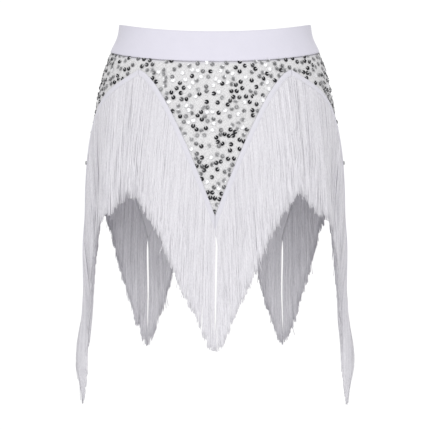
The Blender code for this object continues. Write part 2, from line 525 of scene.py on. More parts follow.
class Dye:
    """Builds the nodes of one material."""

    def __init__(self, name: str) -> None:
        """Starts a material with its Principled shader.

        Args:
            name: The material's name.
        """
        self.material = bpy.data.materials.new(name)
        self.material.use_nodes = True
        self.tree = self.material.node_tree
        self.shader = self.tree.nodes["Principled BSDF"]

    def node(
        self,
        kind: str,
        settings: Optional[dict[str, object]] = None,
        values: Optional[dict[Union[str, int], object]] = None,
    ) -> bpy.types.Node:
        """Adds a node.

        Args:
            kind: The node's type.
            settings: Its own settings, which are set first.
            values: Numbers, colours or wires for its inputs, by name or place.

        Returns:
            The node.
        """
        made = self.tree.nodes.new(kind)
        for name, value in (settings or {}).items():
            setattr(made, name, value)
        for key, value in (values or {}).items():
            self.feed(made.inputs[key], value)
        return made

    def feed(self, socket: bpy.types.NodeSocket, value: object) -> None:
        """Links a wire to a socket, or sets the socket's value.

        Args:
            socket: The input.
            value: A wire, a number or a colour.
        """
        if isinstance(value, Wire):
            self.tree.links.new(value.socket, socket)
        elif isinstance(value, tuple) and socket.type == "RGBA" and len(value) == 3:
            socket.default_value = (*value, 1.0)
        else:
            socket.default_value = value

    def wire(self, node: bpy.types.Node, output: Union[str, int] = 0) -> Wire:
        """One output of a node, ready for arithmetic."""
        return Wire(self, node.outputs[output])

    def cloth_place(self) -> tuple[Wire, Wire]:
        """Where a point lies on the cloth, along and across, in metres."""
        uv = self.wire(self.node("ShaderNodeUVMap", {"uv_map": CLOTH_UV}))
        parts = self.node("ShaderNodeSeparateXYZ", values={0: uv})
        return self.wire(parts, "X"), self.wire(parts, "Y")

    def tone(self) -> Wire:
        """The tone kept on the mesh, from 0 to 1."""
        found = self.node("ShaderNodeAttribute", {"attribute_name": TONE})
        return self.wire(found, "Fac")

    def noise(self, scale: float, detail: float = 2.0) -> Wire:
        """Soft noise between 0 and 1 over the object's own place.

        Args:
            scale: Blotches to a metre.
            detail: How many finer layers it has.

        Returns:
            The noise.
        """
        place = self.wire(self.node("ShaderNodeTexCoord"), "Object")
        values = {"Vector": place, "Scale": scale, "Detail": detail}
        return self.wire(self.node("ShaderNodeTexNoise", values=values))

    def color_mix(self, factor: Wire, low: Union[Color, Wire], high: Union[Color, Wire]) -> Wire:
        """Mixes two colours.

        Args:
            factor: 0 for the first colour and 1 for the second.
            low: The first colour.
            high: The second colour.

        Returns:
            The mixed colour.
        """
        inputs = {0: factor, 6: low, 7: high}
        return self.wire(self.node("ShaderNodeMix", {"data_type": "RGBA", "clamp_factor": True}, inputs), 2)

    def bump(self, height: Wire, distance: float, strength: float = 1.0) -> None:
        """Feeds a relief to the shader's normal.

        Args:
            height: The relief, from 0 to 1.
            distance: How high it stands.
            strength: How much of it shows.
        """
        values = {"Height": height, "Distance": distance, "Strength": strength}
        relief = self.wire(self.node("ShaderNodeBump", values=values), "Normal")
        self.feed(self.shader.inputs["Normal"], relief)

    def dress(self, **values: object) -> None:
        """Sets or links the shader's own inputs, given by name with underscores for spaces."""
        for name, value in values.items():
            self.feed(self.shader.inputs[name.replace("_", " ")], value)


class SkyDye(Dye):
    """Builds the nodes of the sky."""

    def __init__(self, name: str) -> None:
        """Starts a world with its Background shader.

        Args:
            name: The world's name.
        """
        self.material = bpy.data.worlds.new(name)
        self.material.use_nodes = True
        self.tree = self.material.node_tree
        self.shader = self.tree.nodes["Background"]


@dataclass(frozen=True)
class JerseyFinish:
    """Smooth brushed stretch jersey of the waistband, white with a breath of lavender, with painted shade
    from the mesh's tone.
    """

    color: Color = (0.775, 0.758, 0.850)
    shade: Color = (0.590, 0.578, 0.655)
    wale: float = 0.0009
    course: float = 0.0007
    blotches: float = 55.0
    blotchy: float = 0.2
    ribbed: float = 0.10
    roughness: float = 0.70
    rougher: float = 0.12
    sheen: float = 0.25
    sheen_roughness: float = 0.4
    relief: float = 0.00018
    relief_strength: float = 0.8

    def material(self) -> bpy.types.Material:
        """Builds the material.

        Returns:
            The material.
        """
        dye = Dye("band_jersey_knit")
        along, down = dye.cloth_place()
        leg = (along / self.wale).pingpong(0.5)
        stitch = (down / self.course + leg).pingpong(0.5)
        knit = leg + stitch
        blotch = dye.noise(self.blotches)
        # The mesh's tone paints shade into the jersey at the sides and along both edges; the blotches and the
        # knit are the jersey's own.
        knit_mottle_and_painted_shade = dye.color_mix(blotch * self.blotchy + knit * self.ribbed + dye.tone(), self.color, self.shade)
        dye.dress(Base_Color=knit_mottle_and_painted_shade, Roughness=self.roughness + blotch * self.rougher)
        dye.dress(Sheen_Weight=self.sheen, Sheen_Roughness=self.sheen_roughness)
        dye.bump(knit * 0.5, self.relief, self.relief_strength)
        return dye.material


@dataclass(frozen=True)
class HipClothFinish:
    """White knitted ground of the sequin cloth, with rows of zigzag thread that carry the sequins.

    A tone of 0 on the mesh is its outside, 1 its inside, painted darker as shade, and more than 1 a painted
    shadow under the band.
    """

    color: Color = (0.82, 0.815, 0.825)
    speckle_and_hollow_shade: Color = (0.36, 0.355, 0.365)
    thread: Color = (0.90, 0.895, 0.905)
    # The inside colour is painted shade on the inside sheet, and the seam colour a painted shadow under the
    # band's edge.
    inside: Color = (0.67, 0.66, 0.70)
    seam: Color = (0.24, 0.235, 0.26)
    mesh: float = 0.0021
    row: float = 0.0088
    zigzag: float = 0.0064
    thread_width: float = 0.0007
    thread_core: float = 0.5
    thread_edge: float = 1.3
    blotches: float = 160.0
    crumbs: float = 620.0
    noise_layers: float = 3.0
    knit_depth: float = 0.18
    crumb_depth: float = 1.5
    hollow_share: float = 0.16
    roughness: float = 0.62
    rougher: float = 0.2
    sheen: float = 0.15
    sheen_roughness: float = 0.45
    thread_rise: float = 0.4
    hollow_fall: float = 0.5
    crumb_rise: float = 0.5
    relief: float = 0.0006
    relief_strength: float = 0.7

    def material(self) -> bpy.types.Material:
        """Builds the material.

        Returns:
            The material.
        """
        dye = Dye("sequin_cloth_ground")
        along, down = dye.cloth_place()
        loop = math.tau / self.mesh
        loops = (along * loop).sine() * (down * loop).sine()
        sway = (along / self.zigzag).pingpong(0.5) * self.row
        from_thread = abs((down + sway).pingpong(self.row / 2) - self.row / 4)
        thread = from_thread.fall(self.thread_width * self.thread_core, self.thread_width * self.thread_edge)
        blotch = dye.noise(self.blotches, self.noise_layers)
        crumb = dye.noise(self.crumbs, self.noise_layers)
        # Darker at random in fine speckles and, as painted shade, in the knit's hollows, which the relief
        # lowers too.
        speckle_and_hollow_shade = (loops * 0.5 + 0.5) * self.knit_depth + (crumb - 0.5) * self.crumb_depth + self.hollow_share
        ground = dye.color_mix(speckle_and_hollow_shade, self.color, self.speckle_and_hollow_shade)
        knitted = dye.color_mix(thread * blotch, ground, self.thread)
        # Painted shade on the inside sheet, then a painted shadow under the band.
        lined = dye.color_mix(dye.tone(), knitted, self.inside)
        base = dye.color_mix(dye.tone() - 1.0, lined, self.seam)
        dye.dress(Base_Color=base, Roughness=self.roughness + blotch * self.rougher)
        dye.dress(Sheen_Weight=self.sheen, Sheen_Roughness=self.sheen_roughness)
        relief = thread * self.thread_rise - speckle_and_hollow_shade * self.hollow_fall + crumb * self.crumb_rise
        dye.bump(relief, self.relief, self.relief_strength)
        return dye.material


@dataclass(frozen=True)
class SequinFinish:
    """Silver foil of the cup sequins, each in the tone that it turns to the light, painted into its colour as
    a reflection from black through grey to bright.
    """

    dark: Color = (0.008, 0.008, 0.011)
    bright: Color = (0.93, 0.93, 0.95)
    grains: float = 900.0
    grainy: float = 0.12
    roughness: float = 0.24
    rougher: float = 0.14
    metallic: float = 0.62
    coat: float = 0.12
    coat_roughness: float = 0.12
    specular: float = 0.35
    relief: float = 0.0001
    relief_strength: float = 0.5

    def material(self) -> bpy.types.Material:
        """Builds the material.

        Returns:
            The material.
        """
        dye = Dye("sequin_silver_foil")
        grain = dye.noise(self.grains)
        tone = dye.tone() + (grain - 0.5) * self.grainy
        foil = dye.color_mix(tone, self.dark, self.bright)
        dye.dress(Base_Color=foil, Roughness=self.roughness + grain * self.rougher)
        dye.dress(Metallic=self.metallic, Specular_IOR_Level=self.specular)
        dye.dress(Coat_Weight=self.coat, Coat_Roughness=self.coat_roughness)
        dye.bump(grain, self.relief, self.relief_strength)
        return dye.material


@dataclass(frozen=True)
class ThreadFinish:
    """White twisted sewing thread, dimmed by the mesh's tone as a painted highlight that follows its sequin,
    with painted shade in the grooves between its plies.
    """

    color: Color = (0.93, 0.93, 0.94)
    shade: Color = (0.40, 0.40, 0.42)
    ply: float = 0.0008
    ply_shade: float = 0.3
    roughness: float = 0.5
    rougher: float = 0.1
    sheen: float = 0.2
    relief: float = 0.0001
    relief_strength: float = 0.6

    def material(self) -> bpy.types.Material:
        """Builds the material.

        Returns:
            The material.
        """
        dye = Dye("sewing_thread_white")
        along, across = dye.cloth_place()
        twist = ((along + across) / self.ply).ridges()
        # Dimmed by the tone as a painted highlight that follows the sequin, and darker in the ply grooves as
        # painted shade.
        shade = (1.0 - dye.tone()) + twist * self.ply_shade
        dyed = dye.color_mix(shade, self.color, self.shade)
        dye.dress(Base_Color=dyed, Roughness=self.roughness + twist * self.rougher, Sheen_Weight=self.sheen)
        dye.bump(1.0 - twist, self.relief, self.relief_strength)
        return dye.material


@dataclass(frozen=True)
class TapeFinish:
    """Smooth woven heading tape of the fringe, with fine ribs across it."""

    color: Color = (0.775, 0.765, 0.830)
    shade: Color = (0.670, 0.660, 0.725)
    rib: float = 0.0008
    pick: float = 0.6
    blotches: float = 240.0
    blotchy: float = 0.4
    ribbed: float = 0.25
    roughness: float = 0.46
    rougher: float = 0.14
    sheen: float = 0.15
    rib_rise: float = 0.6
    pick_rise: float = 0.3
    relief: float = 0.00016
    relief_strength: float = 0.7

    def material(self) -> bpy.types.Material:
        """Builds the material.

        Returns:
            The material.
        """
        dye = Dye("fringe_heading_tape")
        along, across = dye.cloth_place()
        rib = (along / self.rib).ridges()
        pick = (across / (self.rib * self.pick)).ridges()
        blotch = dye.noise(self.blotches)
        woven = dye.color_mix(rib * self.ribbed + blotch * self.blotchy, self.color, self.shade)
        dye.dress(Base_Color=woven, Roughness=self.roughness + blotch * self.rougher, Sheen_Weight=self.sheen)
        dye.bump(rib * self.rib_rise + pick * self.pick_rise, self.relief, self.relief_strength)
        return dye.material


@dataclass(frozen=True)
class RayonFinish:
    """Lustrous twisted rayon of the fringe, strand by strand a little brighter or greyer, with the painted
    light and shade that the mesh's tone carries.
    """

    color: Color = (0.900, 0.888, 0.928)
    shade: Color = (0.600, 0.590, 0.630)
    twist: float = 0.0016
    slubs: float = 160.0
    strand_step: float = 300.0
    ply_shade: float = 0.10
    slub_shade: float = 0.9
    roughness: float = 0.36
    rougher: float = 0.10
    sheen: float = 0.1
    specular: float = 0.5
    relief: float = 0.00012
    relief_strength: float = 0.5

    def material(self) -> bpy.types.Material:
        """Builds the material.

        Returns:
            The material.
        """
        dye = Dye("fringe_rayon_strands")
        along, across = dye.cloth_place()
        ply = ((along + across) / self.twist).ridges()
        strand = dye.tone() * self.strand_step
        spot = dye.wire(dye.node("ShaderNodeCombineXYZ", values={0: strand, 1: along * self.slubs}))
        slub = dye.wire(dye.node("ShaderNodeTexNoise", values={"Vector": spot, "Scale": 1.0, "Detail": 1.0}))
        # The tone holds each strand's own tone together with its painted shade and light.
        depth = (1.0 - dye.tone()) + ply * self.ply_shade + (slub - 0.5) * self.slub_shade
        spun = dye.color_mix(depth, self.color, self.shade)
        dye.dress(Base_Color=spun, Roughness=self.roughness + ply * self.rougher)
        dye.dress(Sheen_Weight=self.sheen, Specular_IOR_Level=self.specular)
        dye.bump(ply, self.relief, self.relief_strength)
        return dye.material


@dataclass(frozen=True)
class FloorFinish:
    """Plain pale studio floor that fades into the white round it."""

    color: Color = (0.90, 0.90, 0.90)
    fade_from: float = 1.6
    fade_to: float = 4.4
    blotches: float = 3.0
    roughness: float = 0.75
    rougher: float = 0.1

    def material(self) -> bpy.types.Material:
        """Builds the material.

        Returns:
            The material.
        """
        dye = Dye("studio_floor_pale")
        place = dye.wire(dye.node("ShaderNodeTexCoord"), "Object")
        reach = dye.wire(dye.node("ShaderNodeVectorMath", {"operation": "LENGTH"}, {0: place}), "Value")
        blotch = dye.noise(self.blotches)
        dye.dress(Base_Color=self.color, Roughness=self.roughness + blotch * self.rougher)
        dye.dress(Alpha=reach.fall(self.fade_from, self.fade_to))
        return dye.material


@dataclass
class Sketch:
    """Points, faces and what is kept on each point, before they are a mesh."""

    points: np.ndarray
    faces: np.ndarray
    place: Optional[np.ndarray] = None
    tone: Optional[np.ndarray] = None

    def piece(self, name: str, material: bpy.types.Material, smooth: bool = True) -> bpy.types.Object:
        """Makes the object.

        Args:
            name: The piece's name.
            material: Its material.
            smooth: Whether its faces shade smoothly.

        Returns:
            The object.
        """
        mesh = bpy.data.meshes.new(name)
        mesh.from_pydata(self.points.tolist(), [], self.faces.tolist())
        mesh.materials.append(material)
        if self.place is not None:
            corners = np.empty(len(mesh.loops), dtype=np.int32)
            mesh.loops.foreach_get("vertex_index", corners)
            layer = mesh.uv_layers.new(name=CLOTH_UV)
            layer.data.foreach_set("uv", self.place[corners].astype(np.float32).ravel())
        if self.tone is not None:
            kept = mesh.attributes.new(TONE, "FLOAT", "POINT")
            kept.data.foreach_set("value", self.tone.astype(np.float32))
        if smooth:
            mesh.shade_smooth()
        made = bpy.data.objects.new(name, mesh)
        bpy.context.scene.collection.objects.link(made)
        return made


def ring_faces(rows: int, around: int) -> np.ndarray:
    """Quads of a tube whose points are in rows, each row going once round.

    Args:
        rows: How many rows.
        around: Points in a row.

    Returns:
        The faces.
    """
    row, at = np.meshgrid(np.arange(rows - 1), np.arange(around), indexing="ij")
    after = (at + 1) % around
    corners = (row * around + at, (row + 1) * around + at, (row + 1) * around + after, row * around + after)
    return np.stack(corners, axis=-1).reshape(-1, 4)


def strip_faces(rows: int, columns: int, first: int = 0) -> np.ndarray:
    """Quads of an open grid.

    Args:
        rows: How many rows of points.
        columns: Points in a row.
        first: Number of the first point.

    Returns:
        The faces.
    """
    row, at = np.meshgrid(np.arange(rows - 1), np.arange(columns - 1), indexing="ij")
    start = row * columns + at
    corners = (start, start + columns, start + columns + 1, start + 1)
    return first + np.stack(corners, axis=-1).reshape(-1, 4)


def capped_tube(rows: int, around: int) -> list[list[int]]:
    """Faces of a tube closed at both ends by one face each."""
    faces = ring_faces(rows, around).tolist()
    faces.append(list(range(around)))
    faces.append(list(range(rows * around - 1, (rows - 1) * around - 1, -1)))
    return faces


def settle(piece: bpy.types.Object, replaces: tuple[str, ...] = ()) -> None:
    """Says which body carries a piece and which nodes it stands for, which it hides.

    Args:
        piece: The object.
        replaces: Names of the nodes that it replaces.
    """
    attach(piece, BODY)
    if replaces:
        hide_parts(*replaces)
    logging.info("%s: %d faces", piece.name, len(piece.data.polygons))


def flatten(points: np.ndarray, faces: list[list[int]]) -> Sketch:
    """A sketch whose faces have different numbers of corners."""
    return Sketch(points, np.array(faces, dtype=object))


@dataclass
class Waistband:
    """The stretch waistband, folded over its elastic and sewn to the hip cloth, in two halves."""

    columns: int = 240
    wall: float = 0.0020
    waisted: float = 0.0013
    waisted_to: float = 0.8
    lip: float = 0.0006
    lip_from: float = 0.7
    lip_to: float = 0.95
    pull: float = 0.00016
    pulls_round: float = 9.0
    pull_lean: float = 2.6
    swell: float = 0.00012
    swells_round: float = 5.0
    swell_start: float = 1.3
    side_angle: float = 88.0
    side_width: float = 22.0
    # Painted shade: the jersey darkens round these angles, most near the top, and along both edges.
    shade_angle: float = 74.0
    shade_width: float = 26.0
    painted_side_shade: float = 0.26
    shade_fades: float = 1.1
    painted_edge_shade: float = 0.30
    lower_edge: float = 0.035
    upper_edge: float = 0.03
    upper_share: float = 0.5
    measured_row: int = 8
    stretch: float = 1.10

    def profile(self) -> np.ndarray:
        """The band's section: shares of its height from the top, and how far out each point stands.

        Returns:
            Rows of share and out, once round from the top edge down the face and up the inside.
        """
        face = [(0.000, 0.55), (0.006, 0.80), (0.018, 0.94), (0.045, 1.0), (0.10, 1.02), (0.17, 1.03)]
        face += [(0.26, 1.05), (0.38, 1.07), (0.50, 1.08), (0.62, 1.08), (0.74, 1.06), (0.84, 1.05)]
        face += [(0.91, 1.03), (0.955, 1.00), (0.985, 0.86), (1.0, 0.55)]
        inside = [(0.992, 0.20), (0.97, 0.08), (0.90, 0.02), (0.70, 0.0), (0.45, 0.0), (0.20, 0.0)]
        inside += [(0.05, 0.03), (0.015, 0.14), (0.003, 0.32)]
        return np.array(face + inside) * np.array([1.0, self.wall])

    def creases(self, angle: np.ndarray, share: np.ndarray) -> np.ndarray:
        """Soft pulls in the jersey where it turns over the hips, and a faint unevenness all round.

        Args:
            angle: Angles round the figure.
            share: Shares of the band's height from the top.

        Returns:
            How much each point moves out.
        """
        middle = np.sin(share * math.pi)
        pull = np.sin(np.radians(angle * self.pulls_round) + share * self.pull_lean) * self.pull
        swell = np.sin(np.radians(angle * self.swells_round) + self.swell_start) * middle * self.swell
        drawn_in = self.waisted * np.sin(rise(share, 0.0, self.waisted_to) * math.pi)
        flared = self.lip * rise(share, self.lip_from, self.lip_to)
        at_side = bell(turned(angle) - self.side_angle, self.side_width)
        return at_side * (pull * middle - drawn_in + flared) + swell

    def tones(self, angle: np.ndarray, share: np.ndarray) -> np.ndarray:
        """How far the jersey goes to its darker colour as painted shade: more at the sides, where the light
        falls off, and at both edges, where the folds lie in shadow.

        Args:
            angle: Angles round the figure.
            share: Shares of the band's height from the top.

        Returns:
            The tones, with 0 for the plain jersey.
        """
        at_side = bell(turned(angle) - self.shade_angle, self.shade_width)
        fading = np.clip(self.shade_fades - share, 0.0, 1.0)
        edge = bell(1.0 - share, self.lower_edge) + self.upper_share * bell(share, self.upper_edge)
        return self.painted_side_shade * (at_side * fading) + self.painted_edge_shade * edge

    def half(self, half: Half, name: str) -> bpy.types.Object:
        """Builds one half.

        Args:
            half: The front or the back.
            name: The node that it stands for.

        Returns:
            The piece.
        """
        profile = self.profile()
        first, last = half.value
        trim = SEAM_GAP / 2 / FIGURE.arc(np.array(first), np.array(0.0))
        angle = np.linspace(first + trim, last - trim, self.columns)[:, None]
        share, out = profile[None, :, 0], profile[None, :, 1]
        top, bottom = BAND_TOP.height(angle), BAND_BOTTOM.height(angle)
        height = top + (bottom - top) * share
        angles = np.broadcast_to(angle, height.shape)
        points = FIGURE.point(angles, height, out + self.creases(angle, share))
        along = distances(np.linalg.norm(np.diff(points[:, self.measured_row], axis=0), axis=-1))
        sketch = flatten(points.reshape(-1, 3), capped_tube(self.columns, len(profile)))
        sketch.place = pairs(along[:, None], top - height)
        # The tone carries the band's painted shade at the sides and edges.
        sketch.tone = self.tones(angle, share).ravel()
        piece = sketch.piece(f"{name}_jersey", JERSEY)
        settle(piece, (name,))
        depth = float(np.mean(top - bottom))
        return piece

    def build(self) -> list[bpy.types.Object]:
        """Builds both halves."""
        return [self.half(Half.FRONT, "waistband_front"), self.half(Half.BACK, "waistband_back")]


@dataclass
class HipPanel:
    """The sequinned stretch cloth over the hips, in a front and a back joined at the sides."""

    column_step: float = 0.0042
    fewest_columns: int = 8
    step_angle: float = 60.0
    tape_share: float = 0.35
    rows: int = 60
    inner: float = 0.0002
    outer: float = 0.0012
    under_band_share: float = 0.1
    under_band_depth: float = 0.0035
    tuck: float = 0.0010
    hem_under_tape: float = 0.0012
    slow_swell: float = 0.00018
    slow_waves: tuple[float, float, float] = (7.0, 31.0, 47.0)
    slow_start: float = 0.8
    quick_swell: float = 0.00007
    quick_waves: tuple[float, float] = (19.0, 88.0)
    quick_start: float = 2.1
    inside_swell: float = 0.5
    seam_dip: float = 0.0002
    seam_width: float = 1.2
    shadow: float = 1.8
    shadow_depth: float = 0.0021
    stretch: float = 1.08
    allowance: float = 0.006
    hip_height: float = -0.15
    seam_height: float = -0.1
    cut: tuple[float, float, float] = (0.0, 0.0, 0.0)

    def columns(self, half: Half) -> np.ndarray:
        """Angles of the cloth's columns, with one on every peak and point of the hem.

        Args:
            half: The front or the back.

        Returns:
            The angles in rising order.
        """
        degree = float(FIGURE.arc(np.array(self.step_angle), np.array(self.hip_height)))
        angles = []
        for run in RUNS:
            if run.half is not half:
                continue
            tape = run.spread(2)[1][-1]
            span = abs(run.peak_angle - run.point_angle) * degree
            count = max(int(math.hypot(span, self.tape_share * tape) / self.column_step), self.fewest_columns)
            angles.append(run.spread(count)[0])
        mine = np.unique(np.round(np.concatenate(angles), ANGLE_DIGITS))
        other = -mine if half is Half.FRONT else 360.0 - mine
        both = np.unique(np.round(np.concatenate([mine, other]), ANGLE_DIGITS))
        trim = SEAM_GAP / 2 / float(FIGURE.arc(both[0], np.array(self.seam_height)))
        both[0] += trim
        both[-1] -= trim
        return both

    def steps(self, column: np.ndarray) -> np.ndarray:
        """Lengths round the hips from each column to the next."""
        return FIGURE.arc(column[:-1], np.full(len(column) - 1, self.hip_height)) * np.diff(column)

    def unevenness(self, angle: np.ndarray, height: np.ndarray) -> np.ndarray:
        """Slight swells of cloth that lies stretched over hips, the same each time.

        Args:
            angle: Angles round the figure.
            height: Heights on the figure.

        Returns:
            How far the cloth stands out more or less.
        """
        place = turned(angle)
        around, slanted, down = self.slow_waves
        slow = np.sin(np.radians(place * around) + height * slanted) * np.sin(height * down + self.slow_start)
        around, slanted = self.quick_waves
        quick = np.sin(np.radians(place * around) - height * slanted + self.quick_start)
        seam = bell(place - SIDE_SEAM_ANGLE, self.seam_width)
        return self.slow_swell * slow + self.quick_swell * quick - self.seam_dip * seam

    def half(self, half: Half, name: str) -> bpy.types.Object:
        """Builds the cloth of one half.

        Args:
            half: The front or the back.
            name: The node that it stands for.

        Returns:
            The piece.
        """
        column = self.columns(half)
        top = BAND_BOTTOM.height(column) + self.tuck
        bottom = hem_foot(column) + self.hem_under_tape
        share = np.linspace(0.0, 1.0, self.rows)[:, None]
        height = top + (bottom - top) * share
        angle = np.broadcast_to(column, height.shape)
        below_band = BAND_BOTTOM.height(column) - height
        free = rise(below_band, 0.0, self.under_band_depth)
        swell = self.unevenness(angle, height)
        wall = self.under_band_share + (1.0 - self.under_band_share) * free
        face = FIGURE.point(angle, height, self.inner + (self.outer - self.inner) * wall + swell * free)
        back = FIGURE.point(angle, height, swell * free * self.inside_swell)
        place = pairs(distances(self.steps(column)), top - height)
        rows, columns = height.shape
        count = rows * columns
        edge = np.concatenate([
            np.arange(columns),
            np.arange(2, rows + 1) * columns - 1,
            np.arange(rows * columns - 2, (rows - 1) * columns - 1, -1),
            np.arange(rows - 2, 0, -1) * columns,
        ])
        after = np.roll(edge, -1)
        rim = np.stack([edge, after, after + count, edge + count], axis=-1)
        faces = [strip_faces(rows, columns), strip_faces(rows, columns, count)[:, ::-1], rim]
        points = np.concatenate([face.reshape(-1, 3), back.reshape(-1, 3)])
        # Tone: a painted shadow just under the band on the outside sheet, painted shade over the whole inside
        # sheet.
        tone = np.concatenate([(self.shadow * bell(below_band, self.shadow_depth)).ravel(), np.ones(count)])
        sketch = Sketch(points, np.concatenate(faces), np.concatenate([place, place]), tone)
        piece = sketch.piece(f"{name}_cloth", HIP_CLOTH)
        settle(piece, (name,))
        self.cut = self.flat_cut(face, column)
        return piece

    def flat_cut(self, face: np.ndarray, column: np.ndarray) -> tuple[float, float, float]:
        """The width, length and area that the cloth was cut to, seam allowances and all.

        Args:
            face: The cloth's points by row and column.
            column: The columns' angles.

        Returns:
            The flat width, length and area.
        """
        across, down = np.diff(face, axis=1), np.diff(face, axis=0)
        area = np.linalg.norm(np.cross(across[:-1], down[:, :-1]), axis=-1).sum() / self.stretch
        rows = np.linalg.norm(across, axis=-1).sum(axis=1)
        columns = np.linalg.norm(down, axis=-1).sum(axis=0)
        border = (rows[0] + rows[-1]) / self.stretch + columns[0] + columns[-1]
        width = self.steps(column).sum() / self.stretch + 2 * self.allowance
        length = columns.max() + 2 * self.allowance
        return float(width), float(length), float(area + border * self.allowance)


@dataclass
class Sequins:
    """Cup sequins scattered over the hip cloth, each held by a stitch from its hole to its rim."""

    diameter: float = 0.0057
    cloth_for_each: float = 0.000074
    closest: float = 0.0048
    tries: int = 90000
    choice: int = 5
    from_seam: float = 0.6
    lowest: float = -0.33
    highest: float = -0.015
    sides: int = 12
    under_tape: float = 0.30
    under_band: float = 0.0030
    tucked_depth: float = 0.0012
    tucked_lift: float = 0.0009
    lift: float = 0.0014
    lift_spread: float = 0.0005
    side_angle: float = 92.0
    side_width: float = 26.0
    side_flatter: float = 0.5
    lean: float = 9.0
    seed: int = 21
    shine: tuple[float, float, float] = (-0.04, -1.0, 0.18)
    shine_spread: float = 0.25
    facing_front: float = 0.75
    lit_share: float = 0.05
    lit_more: float = 0.26
    lit_width: float = 0.07
    lit_height: float = -0.072
    lit_depth: float = 0.042
    grey_from: float = -0.16
    grey_to: float = -0.04
    greyer: float = 0.12
    darker: float = 0.05
    levels: tuple[tuple[float, float], ...] = (
        (0.00, 0.00),
        (0.32, 0.01),
        (0.48, 0.07),
        (0.58, 0.20),
        (0.82, 0.36),
        (1.00, 0.47),
        (1.20, 0.56),
    )
    stitched_left: float = 0.62
    left_stitch: float = 132.0
    right_stitch: float = 40.0
    stitch_spread: float = 27.0
    painted_glint_slope: float = 0.10
    slope_least: float = 0.3
    painted_bowl_shading: float = 0.28
    thread_shade: float = 1.6
    thread_darkest: float = 0.35
    loose: tuple[tuple[float, float], ...] = ((-90.5, -0.1676), (90.5, -0.1676))
    loose_tone: float = 0.3
    loose_lift: float = 0.0022
    loose_turn: float = 0.4

    def cup(self) -> tuple[np.ndarray, np.ndarray]:
        """One sequin, flat on its back with its cup open upward.

        Returns:
            Its points and faces.
        """
        radius = self.diameter / 2
        rings = [(0.12, 0.00010), (0.46, 0.00014), (0.80, 0.00050), (1.0, 0.00066)]
        rings += [(0.97, 0.00050), (0.46, 0.0)]
        turn = np.arange(self.sides) * math.tau / self.sides
        circle = np.stack([np.cos(turn), np.sin(turn), 0.0 * turn], axis=-1)
        points = [share * radius * circle + np.array([0.0, 0.0, height]) for share, height in rings]
        last = (len(rings) - 1) * self.sides
        at = np.arange(self.sides)
        after = (at + 1) % self.sides
        closing = np.stack([last + at, at, after, last + after], axis=-1)
        return np.concatenate(points), np.concatenate([ring_faces(len(rings), self.sides), closing])

    def scatter(self, half: Half, draws: np.random.Generator) -> np.ndarray:
        """Chooses where the sequins go, with the best of a few tries for each.

        Args:
            half: The front or the back.
            draws: The seeded draws.

        Returns:
            Rows of angle and height.
        """
        first, last = half.value
        angle = draws.uniform(first + self.from_seam, last - self.from_seam, self.tries)
        height = draws.uniform(self.lowest, self.highest, self.tries)
        wide = FIGURE.arc(angle, height)
        keep = draws.uniform(0.0, 1.0, self.tries) < wide / wide.max()
        tape = hem_foot(angle, upper=True)
        margin = self.diameter / 2
        slope_room = margin * (tape - hem_foot(angle)) / TAPE_WIDTH
        keep &= height > tape + slope_room * self.under_tape
        keep &= height < BAND_BOTTOM.height(angle) - margin + self.under_band
        angle, height = angle[keep], height[keep]
        area = (last - first) * (self.highest - self.lowest) * wide.max() * keep.mean()
        wanted = int(area / self.cloth_for_each)
        spots = FIGURE.point(angle, height, 0.0 * height)
        taken = [0]
        chosen = np.empty((wanted, 3))
        chosen[0] = spots[0]
        cursor, count = 1, 1
        while count < wanted and cursor + self.choice < len(spots):
            options = spots[cursor : cursor + self.choice]
            gaps = np.linalg.norm(options[:, None] - chosen[None, :count], axis=-1).min(axis=1)
            best = int(np.argmax(gaps))
            if gaps[best] >= self.closest:
                chosen[count] = options[best]
                taken.append(cursor + best)
                count += 1
            cursor += self.choice
        return np.stack([angle[taken], height[taken]], axis=-1)

    def tones(self, spots: np.ndarray, draws: np.random.Generator) -> np.ndarray:
        """A painted reflection for each sequin, from black mirror through greys to bright, with more bright
        ones, painted glints, high up near the middle, and paler greys higher up.

        Args:
            spots: Rows of angle and height.
            draws: The seeded draws.

        Returns:
            The tones, with 1 for those painted as catching the light.
        """
        places = FIGURE.point(spots[:, 0], spots[:, 1], 0.0 * spots[:, 0])
        across, up = places[:, 0], places[:, 2]
        from_light = (across / self.lit_width) ** 2 + ((up - self.lit_height) / self.lit_depth) ** 2
        lit = draws.uniform(0.0, 1.0, len(spots)) < self.lit_share + self.lit_more * np.exp(-from_light)
        greyer = rise(up, self.grey_from, self.grey_to) * self.greyer - self.darker
        kind = draws.uniform(0.0, 1.0, len(spots)) + greyer
        return np.where(lit, 1.0, np.interp(kind, *zip(*self.levels)))

